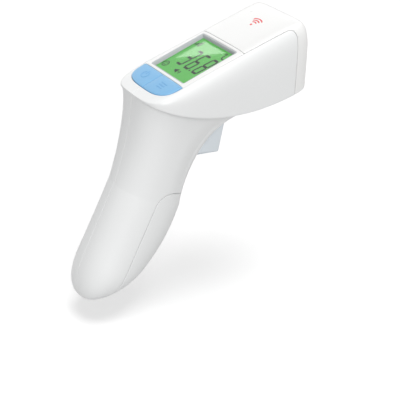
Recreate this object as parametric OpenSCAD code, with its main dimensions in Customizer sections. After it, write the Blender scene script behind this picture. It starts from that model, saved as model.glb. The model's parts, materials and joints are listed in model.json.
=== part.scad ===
// Infrared forehead thermometer in the shape of a small pistol: a wedge-shaped head that carries the
// display, two keys and the sensor, and a leaning handle that holds two cells behind a sliding cover.
// +X points along the sensor axis towards the patient, +Y to the left, +Z up.
// The outer skin is one surface. "th" runs round half of it from the tail (0) over the side (90) to
// the nose (180), and "inset" is the depth below it, so every shell, panel and key shares its shape.

/* [Head] */
// Distance from the tail of the head to the nose
nose_x = 94; // [88:0.5:104]
// Half width of the head
head_w = 24.4; // [22:0.2:29]
// Length over which the tail widens to the full width
tail_l = 44.5; // [40:0.5:52]
// Squareness of the tail in plan
tail_n = 3.9; // [3:0.1:5]
// Length of the rounded nose
nose_l = 18.5; // [14:0.5:22]
// Slope of the top at the tail
top_rise = 0.358; // [0.3:0.005:0.4]
// Loss of slope along the top
top_crown = 0.0003; // [0:0.0001:0.0008]
// Lowest height of the edge under the head
edge_low = -13.45; // [-16:0.05:-11]
// Distance of that lowest point from the tail
edge_x = 54.4; // [48:0.2:60]

/* [Handle] */
// Backward lean of the handle
lean = 26.5; // [20:0.5:32]
// Length of the handle below the tail, along its lean
grip_l = 113.2; // [100:0.2:136]
// Half width of the handle
grip_w = 17.8; // [16:0.1:22]
// Distance of the back of the handle from the tail
grip_back = 11.5; // [9:0.1:13]
// Distance of the front of the handle from the tail
grip_front = 52.8; // [50:0.1:60]
// Length of the rounded end
cap_l = 24; // [20:0.5:30]

/* [Shell] */
// Wall of the housing
wall = 2; // [1.6:0.1:2.4]
// Gap between neighbouring outer pieces
seam = 0.3; // [0.2:0.05:0.5]
// Length of the nose cover along the side
nose_cover_l = 9.5; // [8:0.5:12]
// Half width of the top panel at its rear end
panel_w = 18.7; // [16:0.1:20]
// Widening of the top panel per millimetre of length
panel_flare = 0.02; // [0:0.005:0.03]

/* [Display] */
// Distance of the window from the tail
window_x = 20; // [19:0.2:24]
// Length of the window along the head
window_l = 32; // [26:0.5:34]
// Half width of the window
window_w = 16.2; // [13:0.1:16.6]
// Depth of the window glass below the top
window_depth = 2.6; // [2:0.1:3.2]
// Thickness of the window glass
glass_t = 0.8; // [0.6:0.1:1]
// Thickness of the liquid crystal panel
lcd_t = 1.6; // [1.2:0.1:1.8]
// Thickness of the backlight
backlight_t = 1.6; // [1.2:0.1:1.8]

/* [Keys] */
// Distance of the keys from the tail
key_x = 6; // [5:0.2:8]
// Length of the keys along the head
key_l = 12.2; // [10:0.2:12.6]
// Squareness of the back of the keys
key_n = 3.3; // [2.5:0.1:4]
// Height of the keys above the top
key_proud = 0.4; // [0.2:0.1:0.8]
// Travel of the keys
key_travel = 0.8; // [0.5:0.1:1]

/* [Trigger] */
// Width of the trigger
trigger_w = 11.6; // [10:0.2:13]
// Radius of the trigger pin
pin_r = 1.5; // [1.2:0.1:1.8]
// Travel of the trigger
trigger_angle = 6; // [4:0.5:7]
// Clearance of moving pieces on their pins and guides
running = 0.06; // [0.03:0.01:0.1]
// Clearance between the trigger and its slot
slot_gap = 0.7; // [0.5:0.1:1]

/* [Sensor] */
// Height of the sensor axis above the tail
sensor_z = 12; // [9:0.2:14]
// Radius of the opening in front of the sensor
aperture_r = 5.2; // [4:0.1:6]
// Width of the ring round the opening
aperture_ring_w = 2.2; // [1.6:0.1:3]
// Length of the sensor barrel
barrel_l = 20; // [16:0.5:24]
// Radius of the sensor can
can_r = 4.1; // [3:0.1:4.6]

/* [Power] */
// Radius of a cell
cell_r = 5.25; // [5.2:0.05:5.3]
// Length of a cell
cell_l = 44.5; // [44:0.1:45]
// Distance of the top of the cells from the tail, along the handle
cell_s = 51; // [50:0.5:53]
// Length of the contact springs
contact_spring_l = 3.4; // [3:0.1:4]
// Upper end of the battery cover along the handle
cover_s = 41; // [39:0.5:44]
// Edge of the battery cover, measured forwards like grip_back
cover_t = 29.4; // [27:0.2:31]

/* [Fasteners] */
// Radius of the screws in the housing
screw_r = 1.1; // [1:0.05:1.3]
// Radius of the screw heads
screw_head_r = 2.3; // [2:0.1:2.6]
// Wall of the screw pillars
pillar_wall = 1.6; // [1.2:0.1:2]

/* [Hidden] */
$fn = 48;

ROUND = 20;              // steps round half of the skin
RISE = 11;               // steps from the edge to the middle of the top
NECK = 8;                // steps from the edge to the handle
GRIP = 9;                // steps along the handle
MID = 0.05;              // half of the parting gap between the two shells
edge_sag = 0.0043;       // curvature of the edge under the head
side_n = 7.1;            // squareness of the head from side to side
top_n = 6;               // squareness of the head from edge to top
nose_n = 8;              // squareness of the nose in plan
tail_round = 0.4;        // how far the top of the tail leans forward
top_pole = 0.45;         // where the rows of the nose end on the middle line
grip_n = 2.24;           // squareness of the handle
grip_taper = 13.7;       // loss of depth towards the end of the handle
grip_mid = 60;           // where that loss begins
cap_n = 2.5;             // roundness of the end of the handle
cap_slant = -0.37;       // slant of the end of the handle
neck_s = 48;             // where the neck becomes the handle
neck_side = 120;         // how far round the tail's own curve is felt
NECK_FALL = 1.33;        // curves of the neck: fall, reach at the nose, reach at the sides, at the tail
NECK_NOSE = 4;
NECK_WIDE = 4.3;
NECK_TAIL = 1.69;

nose_x0 = nose_x - nose_l;
deck_x = 36;                                   // the deck: a plane through the top, under the display
deck_tilt = atan(top_rise - 2 * top_crown * deck_x);
deck_z = top_rise * deck_x - top_crown * deck_x * deck_x;
panel_x = key_x + key_l + seam;                // rear and front ends of the display bezel
panel_end = window_x + window_l + 1.6;
glass_z = -window_depth - glass_t;
lcd_z = glass_z - lcd_t - 0.1;
backlight_z = lcd_z - backlight_t - 0.1;
board_t = 1.2;
board_z = backlight_z - 0.5 - board_t;         // underside of the main board
board_top = board_z + board_t;
dome_h = 1.2;
key_flange = 0.8;
key_rim = 1.2;                                 // width of the keys' flange
key_floor = -wall - 1;                         // underside of the skin round the keys
panel_floor = -wall - 3;                       // below the underside of the whole panel
panel_reach = 20 - panel_floor;                // and from there to well above it
surround_draft = 0.3;                          // how far the walls of the surround lean in
glass_rim = 1;                                 // how far the glass reaches under the bezel
key_base = key_floor - 0.2 - key_flange;
stem_z = board_top + dome_h + key_travel + seam;   // foot of the stems that press the domes
pivot = [46, -7];                              // the trigger pin, in X and Z
hub_r = pin_r + 2;
trigger_front = [[50, -5.5], [54.8, -14], [53.9, -24], [50.2, -42.8]];
trigger_back = [[35, -41.4], [36.5, -34], [41, -20], [43, -8]];
trigger_slot = [[27, -43.6], [56, -10.4]];      // rear low and front high corners, in X and Z
pusher_z = -33;                                // the part of the trigger that presses the switch
switch_x = 22.5;
switch_h = 1.7;
pusher_x = switch_x + board_t + switch_h + seam + (pivot.y - pusher_z) * sin(trigger_angle);
ring_r = aperture_r + aperture_ring_w;
barrel_r = ring_r + 1;
barrel_step = 0.9;                             // how far the front of the barrel enters the nose cover
board_rear = -28;                              // outline of the main board on the deck
board_corner = -19;
board_tail_w = 7.5;
board_w = 15.5;
tray_wall = 1.4;
cell_y = cell_r + 0.5;
cell_t = 34.5 - 1.5 * wall;                     // a thicker wall moves the cells back from the cover
tray_s = cell_s - contact_spring_l - tray_wall;
tray_l = cell_l + 2 * contact_spring_l + 2 * tray_wall;
buzzer_x = nose_x - 30;
buzzer_r = 6.5;
post_y = 12.5;
post_r = 2.2;
board_screw_r = 0.8;
spring_w = 4;
key_stem_x = key_x + 8.5;
key_stem_y = 8;
hook_l = 6;
lead_route = [[4.5, -53], [6, -42], [8.5, -26], [9, -16], [11, -9], [14.5, -5.3]];  // X and Z of the leads
// screws in the head: X, Z, height of the seat and reach of the pillars from the parting plane
screws = [[nose_x - 16, -3, 10, head_w - wall], [16, -12, 8, head_w - wall - 5]];
// the same in the handle: distance along it, distance forwards, height of the seat
grip_screws = [[74, 18.6, 5], [96, 18.6, 4]];

// ---------- the skin as a surface ----------
function mix(a, b, f) = a + (b - a) * f;
function edge_z(x) = edge_low + edge_sag * pow(x - edge_x, 2);
function top_z(x) = top_rise * x - top_crown * x * x;
function nose_a(th) = (180 - th) / 55 * 90;

// half outline of the edge under the head, seen from above: X and half width
function plan(th, inset) =
    let (tail = inset > 0 ? 3 * inset : inset, n = inset > 0 ? 2.5 : tail_n, w = head_w - inset)
    th <= 90 ? [tail + (tail_l - tail) * (1 - pow(cos(th), 2 / n)), w * pow(sin(th), 2 / n)] :
    th < 125 ? [mix(tail_l, nose_x0, (th - 90) / 35), w] :
    [nose_x0 + (nose_l - inset) * pow(max(0, cos(nose_a(th))), 2 / nose_n),
     w * pow(max(0, sin(nose_a(th))), 2 / nose_n)];

// a point of the head: "f" runs from the edge (0) to the middle line of the top (1)
function head_point(th, f, inset) =
    let (r = pow(max(0, cos(90 * f)), 2 / side_n), p = plan(th, inset),
         front = th >= 125,
         cy = front ? pow(max(0, sin(nose_a(th))), 2 / nose_n) : 1,
         cx = front ? pow(max(0, cos(nose_a(th))), 2 / nose_n) : 0,
         k = mix(top_pole, 1, r),
         gauge = pow(pow(cy * r, nose_n) + pow(cx * k, nose_n), 1 / nose_n),
         h = pow(max(0, 1 - pow(gauge, side_n)), 1 / top_n),
         x = front ? mix(nose_x0, p.x, k) : p.x + tail_round * (1 - r) * pow(cos(th), 4),
         low = edge_z(x) + inset)
    [x, p.y * r, mix(low, top_z(x) - inset * 1.05, h)];

// a point of the handle, "s" down along it; "u" runs from 0 to 1 over the rounded end
function grip_point(s, u, th, inset) =
    let (front = grip_front - inset - grip_taper * pow((s - grip_mid) / 45, 2) * (s > grip_mid ? 1 : 0.6),
         back = grip_back + inset, m = (front + back) / 2, half = (front - back) / 2,
         r = pow(max(0, 1 - pow(u, cap_n)), 1 / cap_n), c = cos(th),
         t = m - half * sign(c) * pow(abs(c), 2 / grip_n) * r,
         d = s + u * (t - m) * cap_slant)
    [t * cos(lean) - d * sin(lean), (grip_w - inset) * pow(max(0, sin(th)), 2 / grip_n) * r,
     -t * sin(lean) - d * cos(lean)];

// a point of the neck: "g" runs from the edge under the head (0) to the handle (1)
function neck_point(th, g, inset) =
    let (fall = 1 - cos(90 * g), p = plan(th, inset), q = grip_point(neck_s, 0, th, inset),
         n = min(1, th / neck_side), side = n * n * (3 - 2 * n),
         base = 1 - pow(1 - fall, NECK_FALL),
         fx = mix(pow(fall, NECK_TAIL), pow(base, 1 / NECK_NOSE), side),
         fy = pow(base, 1 / NECK_WIDE), x = mix(p.x, q.x, fx),
         low = edge_z(p.x > edge_x ? max(x, edge_x) : p.x) + inset)
    [x, mix(p.y, q.y, fy), mix(low, q.z, fall)];

// rows of the half skin from the end of the handle up to the middle of the top
function grip_u(s, end) = max(0, min(1, (s - (end - cap_l)) / cap_l));
function row_count() = GRIP + NECK + RISE + 2;
function skin_point(row, th, inset) =
    let (end = grip_l - inset, last = end - cap_l * 0.02)
    row == 0 ? let (p = grip_point(last, grip_u(last, end), th, inset))
               [p.x - sin(lean) * 0.3, 0, p.z - cos(lean) * 0.3] :
    row <= GRIP ? let (s = mix(last, neck_s, pow((row - 1) / GRIP, 1.35)))
                  grip_point(s, grip_u(s, end), th, inset) :
    row <= GRIP + NECK ? neck_point(th, 1 - (row - GRIP - 1) / NECK, inset) :
    head_point(th, (row - GRIP - NECK - 1) / RISE, inset);

// ---------- solids made from grids ----------
// faces between the rows of a grid of points, n points to a row
function grid_faces(rows, n, start, flip) =
    [for (j = [0 : rows - 2], i = [0 : n - 2])
        let (a = start + j * n + i, b = a + 1, c = a + n + 1, d = a + n)
        each (flip ? [[a, b, c], [a, c, d]] : [[a, c, b], [a, d, c]])];
// faces between the rims of an outer and an inner grid
function rim_faces(rows, n, gap, flip) =
    let (loop = [for (i = [0 : n - 1]) i, for (j = [1 : rows - 1]) j * n + n - 1,
                 for (i = [n - 2 : -1 : 0]) (rows - 1) * n + i, for (j = [rows - 2 : -1 : 1]) j * n],
         m = len(loop))
    [for (k = [0 : m - 1]) let (a = loop[k], b = loop[(k + 1) % m])
        each (flip ? [[a, a + gap, b + gap], [a, b + gap, b]] : [[a, b, b + gap], [a, b + gap, a + gap]])];

// one half of the housing, as thick as the wall; side is 1 on the left and -1 on the right
module half_skin(side) {
    rows = row_count();
    n = ROUND + 1;
    skin = [for (inset = [0, wall], j = [0 : rows - 1], i = [0 : n - 1])
        let (p = skin_point(j, i * 180 / ROUND, inset)) [p.x, side * max(p.y, MID), p.z]];
    gap = rows * n;
    polyhedron(points = skin, faces = concat(
        grid_faces(rows, n, 0, side > 0), grid_faces(rows, n, gap, side < 0),
        rim_faces(rows, n, gap, side < 0)));
}

// a closed solid from rows of half outlines: the last row lies on the middle plane as a ridge, and the
// first is closed straight across
module closed_block(grid, flip) {
    n = 2 * ROUND;
    last = len(grid) - 1;
    ring = [for (j = [0 : last - 1], i = [0 : n - 1])
        let (p = grid[j][i <= ROUND ? i : n - i]) [p.x, i <= ROUND ? -p.y : p.y, p.z]];
    ridge = [for (i = [0 : ROUND]) let (p = grid[last][i]) [p.x, 0, p.z]];
    keel = [for (i = [1 : ROUND - 1]) let (p = grid[0][i]) [p.x, 0, p.z]];
    top = n * last;
    low = top + ROUND + 1;
    function up(j, i) = j < last ? j * n + i % n : top + (i <= ROUND ? i : n - i);
    function down(i) = let (k = i <= ROUND ? i : n - i) k == 0 ? 0 : k == ROUND ? ROUND : low + k - 1;
    faces = [
        for (j = [0 : last - 1], i = [0 : n - 1])
            let (a = up(j, i), b = up(j, i + 1), c = up(j + 1, i + 1), d = up(j + 1, i))
            each (c == d ? [[a, c, b]] : [[a, c, b], [a, d, c]]),
        for (i = [0 : n - 1])
            let (a = up(0, i), b = up(0, i + 1), c = down(i + 1), d = down(i))
            each concat(b == c ? [] : [[a, b, c]], a == d ? [] : [[a, c, d]])];
    polyhedron(points = concat(ring, ridge, keel),
               faces = flip ? [for (f = faces) [f[0], f[2], f[1]]] : faces);
}
// the head, with a floor at the height of its edge, and the handle with half of the neck
module head_block(inset) {
    closed_block([for (j = [0 : RISE]) [for (i = [0 : ROUND])
        head_point(i * 180 / ROUND, j / RISE, inset)]], false);
}
module grip_block(inset) {
    closed_block([for (j = [GRIP + 4 : -1 : 0]) [for (i = [0 : ROUND])
        skin_point(j, i * 180 / ROUND, inset)]], true);
}

// ---------- places ----------
module in_frame() { translate([-nose_x, 0, -sensor_z]) children(); }
module on_deck() { translate([deck_x, 0, deck_z]) rotate([0, -deck_tilt, 0]) children(); }
module on_sensor_axis() { translate([nose_x, 0, sensor_z]) rotate([0, -90, 0]) children(); }
module on_pivot() { translate([pivot.x, 0, pivot.y]) rotate([90, 0, 0]) children(); }
// handle frame: +X down along the handle, +Y forwards across it, +Z to the right
module on_grip() { multmatrix([[-sin(lean), cos(lean), 0, 0], [0, 0, -1, 0],
                               [-cos(lean), -sin(lean), 0, 0], [0, 0, 0, 1]]) children(); }
function deck_u(x) = (x - deck_x) / cos(deck_tilt);
function panel_half(x) = panel_w + panel_flare * (x - panel_x);

// ---------- outlines ----------
module bezel_outline(x0, x1, gap) {
    polygon([[deck_u(x0), -panel_half(x0) + gap], [deck_u(x1), -panel_half(x1) + gap],
             [deck_u(x1), panel_half(x1) - gap], [deck_u(x0), panel_half(x0) - gap]]);
}
// both keys, rounded at the back; "grow" widens them
module key_outline(grow) {
    u1 = deck_u(key_x + key_l) + grow;
    l = u1 - deck_u(key_x) + grow;
    w = panel_w - 0.3 + grow;
    polygon([for (a = [-90 : 5 : 90])
        [u1 - l * pow(cos(a), 2 / key_n), w * sign(a) * pow(abs(sin(a)), 2 / key_n)]]);
}
module board_outline(grow) {
    u = [board_rear - grow, board_corner - grow, deck_u(nose_x - 33) + grow];
    y0 = board_tail_w + grow;
    y1 = board_w + grow;
    polygon([[u[0], -y0], [u[1], -y1], [u[2], -y1], [u[2], y1], [u[1], y1], [u[0], y0]]);
}
module window_outline(grow) {
    u0 = deck_u(window_x) - grow;
    u1 = deck_u(window_x + window_l) + grow;
    translate([u0, -window_w - grow]) square([u1 - u0, 2 * (window_w + grow)]);
}
// side outline of the battery cover in the handle frame
module cover_outline(gap) {
    r = 9;
    s0 = cover_s + gap;
    t0 = cover_t + gap;
    union() {
        translate([s0 + r, t0]) square([100, 60]);
        translate([s0, t0 + r]) square([100, 60]);
        translate([s0 + r, t0 + r]) circle(r);
    }
}

// ---------- cuts in the shells ----------
module panel_cut() {
    on_deck() translate([0, 0, panel_floor]) linear_extrude(panel_reach) {
        bezel_outline(panel_x - seam, nose_x + 20, -seam / 2);
        key_outline(seam);
    }
    on_deck() translate([0, 0, board_z - 0.5]) linear_extrude(key_floor - board_z + 0.5) {
        key_outline(key_rim + seam);
        board_outline(0.4);
    }
    translate([nose_x - nose_cover_l, -40, -60]) cube([40, 80, 120]);
}
module cover_cut() { on_grip() translate([0, 0, -40]) linear_extrude(80) cover_outline(0); }
module trigger_cut() {
    w = trigger_w / 2 + slot_gap;
    low = trigger_slot[0];
    size = trigger_slot[1] - low;
    translate([low.x, -w, low.y]) cube([size.x, 2 * w, size.y]);
}

// ---------- screw pillars ----------
// screw pillars, from the parting plane to the wall on the left (1) or right (-1) side
module screw_pillars(side, r) {
    for (s = screws) translate([s.x, side * MID, s.y]) rotate([-side * 90, 0, 0]) cylinder(h = s[3], r = r);
    intersection() {
        grip_block(wall / 2);
        for (s = grip_screws)
            translate(grip_place(s.x, s.y) + [0, side * MID, 0]) rotate([-side * 90, 0, 0])
                cylinder(h = grip_w, r = r);
    }
}

module left_shell() {
    pillar_r = screw_head_r + 0.3 + pillar_wall;
    color("whitesmoke") in_frame() difference() {
        union() {
            difference() { half_skin(1); panel_cut(); cover_cut(); trigger_cut(); }
            screw_pillars(1, pillar_r);
            pin_boss(1);
        }
        on_pivot() cylinder(h = 2 * (trigger_w / 2 + 3.4), r = pin_r + 0.02, center = true);
        for (s = screws) screw_hole([s.x, 0, s.y], s[2]);
        for (s = grip_screws) screw_hole(grip_place(s.x, s.y), s[2]);
    }
}
function grip_place(s, t) = [t * cos(lean) - s * sin(lean), 0, -t * sin(lean) - s * cos(lean)];
module screw_hole(place, seat) {
    translate(place) rotate([-90, 0, 0]) {
        translate([0, 0, -1]) cylinder(h = seat + 2, r = screw_r + 0.3);
        translate([0, 0, seat]) cylinder(h = 30, r = screw_head_r + 0.3);
    }
}
// boss that carries one end of the trigger pin
module pin_boss(side) {
    w = trigger_w / 2 + slot_gap;
    translate([pivot.x, side * w, pivot.y]) rotate([-side * 90, 0, 0])
        cylinder(h = head_w - wall - w + 0.6, r = hub_r);
}

module right_shell() {
    color("whitesmoke") in_frame() difference() {
        union() {
            difference() { half_skin(-1); panel_cut(); cover_cut(); trigger_cut(); }
            screw_pillars(-1, screw_r + pillar_wall);
            pin_boss(-1);
        }
        on_pivot() cylinder(h = 2 * (trigger_w / 2 + 3.4), r = pin_r + 0.02, center = true);
        for (s = screws) pilot_hole([s.x, 0, s.y]);
        for (s = grip_screws) pilot_hole(grip_place(s.x, s.y));
    }
}
module pilot_hole(place) { translate(place) rotate([90, 0, 0]) cylinder(h = 9, r = screw_r + 0.05); }

// ---------- outer panels ----------
module head_skin() { difference() { head_block(0); head_block(wall); } }
module nose_cover() {
    color("white") in_frame() difference() {
        union() {
            intersection() {
                head_skin();
                union() {
                    translate([nose_x - nose_cover_l + seam, -40, -60]) cube([40, 80, 120]);
                    on_deck() translate([0, 0, panel_floor]) linear_extrude(panel_reach)
                        bezel_outline(panel_end + seam, nose_x - 4, seam / 2);
                }
            }
            at_board_posts() cylinder(h = -board_top - 1, r = post_r);
        }
        on_sensor_axis() translate([0, 0, -5]) cylinder(h = wall + 10, r = ring_r);
        at_board_posts() translate([0, 0, -1]) cylinder(h = 6, r = board_screw_r + 0.05);
    }
}
// the two posts that hold the front of the main board
module at_board_posts() {
    on_deck() for (y = [-post_y, post_y]) translate([deck_u(panel_end + 4.5), y, board_top]) children();
}
module display_bezel() {
    color("white") in_frame() intersection() {
        head_skin();
        on_deck() difference() {
            translate([0, 0, panel_floor]) linear_extrude(panel_reach) difference() {
                bezel_outline(panel_x, panel_end, seam / 2);
                window_outline(0);
            }
            translate([0, 0, panel_floor]) linear_extrude(glass_z + glass_t + 0.05 - panel_floor)
                window_outline(glass_rim + 0.05);
        }
    }
}
module window_surround() {
    h = window_depth - 0.55;
    color("darkgray") in_frame() on_deck() translate([0, 0, -window_depth + 0.05]) difference() {
        linear_extrude(h) window_outline(-0.1);
        hull() {
            translate([0, 0, -0.1]) linear_extrude(0.05) window_outline(-0.8 - surround_draft);
            translate([0, 0, h]) linear_extrude(0.1) window_outline(-0.8);
        }
    }
}
module display_window() {
    color([0.8, 0.9, 0.85, 0.4]) in_frame() on_deck() translate([0, 0, glass_z]) linear_extrude(glass_t)
        window_outline(glass_rim);
}
module lcd_panel() {
    color("lightgreen") in_frame() on_deck() translate([0, 0, lcd_z]) linear_extrude(lcd_t)
        window_outline(0.6);
}
module backlight() {
    u = deck_u(window_x) + 2.4;
    color("honeydew") in_frame() on_deck() translate([u, -window_w, backlight_z])
        cube([deck_u(window_x + window_l) - 2.4 - u, 2 * window_w, backlight_t]);
}
module display_connectors() {
    color("dimgray") in_frame() on_deck()
        for (u = [deck_u(window_x) - 0.2, deck_u(window_x + window_l) - 1.6])
            translate([u, -window_w + 2, board_top + 0.05])
                cube([1.8, 2 * window_w - 4, lcd_z - board_top - 0.1]);
}

// ---------- keys ----------
module key(side) {
    in_frame() difference() {
        union() {
            intersection() {
                head_block(-key_proud);
                on_deck() translate([0, 0, key_base + key_flange / 2]) linear_extrude(20) key_half(side, 0);
            }
            on_deck() translate([0, 0, key_base]) linear_extrude(key_flange) intersection() {
                key_half(side, key_rim);
                translate([deck_u(key_x) - 5, -30]) square([deck_u(key_x + key_l) - deck_u(key_x) + 5, 60]);
            }
            on_deck() translate([deck_u(key_stem_x), side * key_stem_y, stem_z])
                cylinder(h = key_base + 0.5 - stem_z, r = 1.6);
        }
    }
}
module key_half(side, grow) {
    intersection() {
        key_outline(grow);
        translate([-60, side > 0 ? seam / 2 : -60 - seam / 2]) square([120, 60]);
    }
}
module mode_key() { color("skyblue") key(1); }
module memory_key() { color("skyblue") key(-1); }
module key_domes() {
    color("gainsboro") in_frame() on_deck() for (side = [-1, 1])
        translate([deck_u(key_stem_x), side * key_stem_y, board_top]) cylinder(h = dome_h, r = 2.8);
}

// ---------- electronics in the head ----------
module main_board() {
    color("green") in_frame() difference() {
        on_deck() translate([0, 0, board_z]) linear_extrude(board_t) board_outline(0);
        at_board_posts() translate([0, 0, -board_t - 1]) cylinder(h = board_t + 2, r = board_screw_r + 0.3);
    }
}
module controller() {
    color("black") in_frame() on_deck() translate([-8, -4.5, board_z - 1.4]) cube([9, 9, 1.4]);
}
module board_screws() {
    color("silver") in_frame() at_board_posts() {
        translate([0, 0, -board_t - 1.3]) cylinder(h = 1.3, r = board_screw_r + 0.9);
        translate([0, 0, -board_t - 0.5]) cylinder(h = board_t + 5, r = board_screw_r);
    }
}
module buzzer() {
    z = edge_z(buzzer_x + buzzer_r) + wall + 0.6;
    color("black") in_frame() translate([buzzer_x, 0, z]) difference() {
        cylinder(h = 3.2, r = buzzer_r);
        translate([0, 0, 2.2]) cylinder(h = 2, r = 1);
    }
}

// ---------- trigger ----------
module trigger() {
    color("lightsteelblue") in_frame() difference() {
        union() {
            translate([0, trigger_w / 2, 0]) rotate([90, 0, 0]) linear_extrude(trigger_w)
                polygon(concat(trigger_front, trigger_back));
            on_pivot() cylinder(h = trigger_w, r = hub_r, center = true);
            translate([pusher_x, -3, pusher_z - 3]) cube([10, 6, 6]);
        }
        on_pivot() cylinder(h = trigger_w + 2, r = pin_r + running, center = true);
        on_pivot() cylinder(h = spring_w + 0.6, r = hub_r + 0.8, center = true);
    }
}
module trigger_pin() {
    color("silver") in_frame() on_pivot() cylinder(h = 2 * (trigger_w / 2 + 3.3), r = pin_r, center = true);
}
module trigger_spring() {
    wire = spring_w / 10;
    color("silver") in_frame() on_pivot() rotate_extrude() for (i = [-2 : 2])
        translate([pin_r + 0.2 + wire, i * (spring_w / 5 - 0.02)]) circle(wire, $fn = 24);
}
module switch_board() {
    color("green") in_frame() translate([switch_x, -8, pusher_z - 9]) cube([board_t, 16, 18]);
}
module trigger_switch() {
    color("dimgray") in_frame() translate([switch_x + board_t, 0, pusher_z]) rotate([0, 90, 0]) {
        translate([-2.6, -2.6, 0]) cube([5.2, 5.2, 1]);
        cylinder(h = switch_h, r = 1.6);
    }
}

// ---------- sensor ----------
module aperture_ring() {
    color("black") in_frame() on_sensor_axis() rotate_extrude()
        polygon([[aperture_r, -0.1], [aperture_r + 0.3, -0.4], [ring_r - 0.4, -0.4], [ring_r - 0.05, -0.05],
                 [ring_r - 0.05, wall], [aperture_r, wall]]);
}
module sensor_barrel() {
    l0 = wall + 0.1;
    l1 = l0 + barrel_l;
    color("silver") in_frame() on_sensor_axis() rotate_extrude()
        polygon([[aperture_r + 0.4, l0], [ring_r - 0.1, l0], [ring_r - 0.1, l0 + barrel_step],
                 [barrel_r, l0 + barrel_step], [barrel_r, l1], [can_r + 0.05, l1],
                 [can_r + 0.05, l1 - 4.5], [2, l1 - 4.5]]);
}
module sensor_can() {
    l1 = wall + 0.1 + barrel_l;
    color("goldenrod") in_frame() on_sensor_axis() translate([0, 0, l1 - 4.4]) cylinder(h = 4.4, r = can_r);
}
module sensor_board() {
    color("green") in_frame() on_sensor_axis() translate([0, 0, wall + barrel_l + 0.3])
        cylinder(h = board_t, r = barrel_r - 0.6);
}
module sensor_ribbon() {
    x0 = nose_x - wall - barrel_l - 1.6;
    z0 = sensor_z - 5;
    color("orange") in_frame() translate([0, 3, 0]) rotate([90, 0, 0]) linear_extrude(6)
        polygon([[x0, z0], [x0 - 5, z0], [x0 - 8.4, z0 + 4],
                 [x0 - 8.4, z0 + 3.5], [x0 - 5.2, z0 - 0.3], [x0, z0 - 0.3]]);
}

// ---------- handle ----------
module battery_cover() {
    color("whitesmoke") in_frame() {
        intersection() {
            difference() { grip_block(0); grip_block(wall); }
            on_grip() translate([0, 0, -40]) linear_extrude(80) cover_outline(seam);
        }
        for (side = [-1, 1], s = [cover_s + 15, cover_s + 29]) on_grip() cover_hook(s, side);
    }
}
// hook inside the cover whose tongue runs behind the edge of the shell
module cover_hook(s, side) {
    y = grip_w - wall - 0.4;
    translate([s, cover_t - 2, side > 0 ? y - 1.4 : -y]) cube([hook_l, 5, 1.4]);
    translate([s, cover_t + seam + 0.2, side > 0 ? y - 1.4 : -y - 1]) cube([hook_l, 2.8, 2.4]);
}
module battery_tray() {
    half = cell_y + cell_r + tray_wall;
    color("gray") in_frame() on_grip() difference() {
        translate([tray_s, cell_t - cell_r - tray_wall, -half]) cube([tray_l, cell_r + tray_wall, 2 * half]);
        for (y = [-cell_y, cell_y]) translate([tray_s + tray_wall, cell_t, y]) rotate([0, 90, 0])
            cylinder(h = tray_l - 2 * tray_wall, r = cell_r + 0.2);
    }
}
// a cell along the handle; "dir" is 1 when its raised contact points down
module cell(y, dir) {
    nub = 1.2;
    in_frame() on_grip() translate([cell_s + (dir > 0 ? 0 : cell_l), cell_t, y]) rotate([0, dir * 90, 0]) {
        cylinder(h = cell_l - nub, r = cell_r);
        cylinder(h = cell_l, r = 1.9);
    }
}
module battery_left() { color("darkorange") cell(-cell_y, 1); }
module battery_right() { color("darkorange") cell(cell_y, -1); }
// points of a coil of "turns" turns, "l" long and widening from r0 to r1
function coil(turns, l, r0, r1) = [for (i = [0 : 14 * turns])
    let (f = i / (14 * turns), a = i * 360 / 14, r = mix(r0, r1, f)) [f * l, r * cos(a), r * sin(a)]];
module contact_springs() {
    path_l = contact_spring_l - 1.2;
    color("silver") in_frame() on_grip() {
        translate([cell_s - 0.4, cell_t, -cell_y]) rotate([0, 0, 180])
            sweep(coil(3, path_l, 2.2, 3.6), 0.25, 6);
        translate([cell_s + cell_l + 0.4, cell_t, cell_y]) sweep(coil(3, path_l, 2.2, 3.6), 0.25, 6);
    }
}
module contact_plates() {
    t = 0.4;
    w = cell_r - 0.8;
    s0 = tray_s + tray_wall;
    s1 = tray_s + tray_l - tray_wall;
    color("silver") in_frame() on_grip() {
        for (y = [-cell_y, cell_y]) {
            translate([s0 + 0.05, cell_t - 3, y - w / 2]) cube([t, 6, w]);
            translate([s1 - t - 0.05, cell_t - 3, y - w / 2]) cube([t, 6, w]);
        }
        translate([s0 + t, cell_t, cell_y]) rotate([0, 90, 0]) cylinder(h = cell_s - s0 - t - 0.05, r = 1.5);
        translate([cell_s + cell_l + 0.05, cell_t, -cell_y]) rotate([0, 90, 0])
            cylinder(h = s1 - t - cell_s - cell_l - 0.1, r = 1.5);
    }
}
module battery_leads() {
    color("red") in_frame() for (y = [-3, 3]) sweep([for (p = lead_route) [p.x, y, p.y]], 0.6, 8);
}
module housing_screws() {
    color("silver") in_frame() {
        for (s = screws) housing_screw([s.x, 0, s.y], s[2]);
        for (s = grip_screws) housing_screw(grip_place(s.x, s.y), s[2]);
    }
}
module housing_screw(place, seat) {
    translate(place) rotate([-90, 0, 0]) {
        translate([0, 0, -7]) cylinder(h = seat + 8, r = screw_r);
        translate([0, 0, seat + 0.02]) difference() {
            cylinder(h = 2, r = screw_head_r);
            for (a = [0, 90]) rotate(a) translate([-1.5, -0.3, 1]) cube([3, 0.6, 2]);
        }
    }
}

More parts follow.
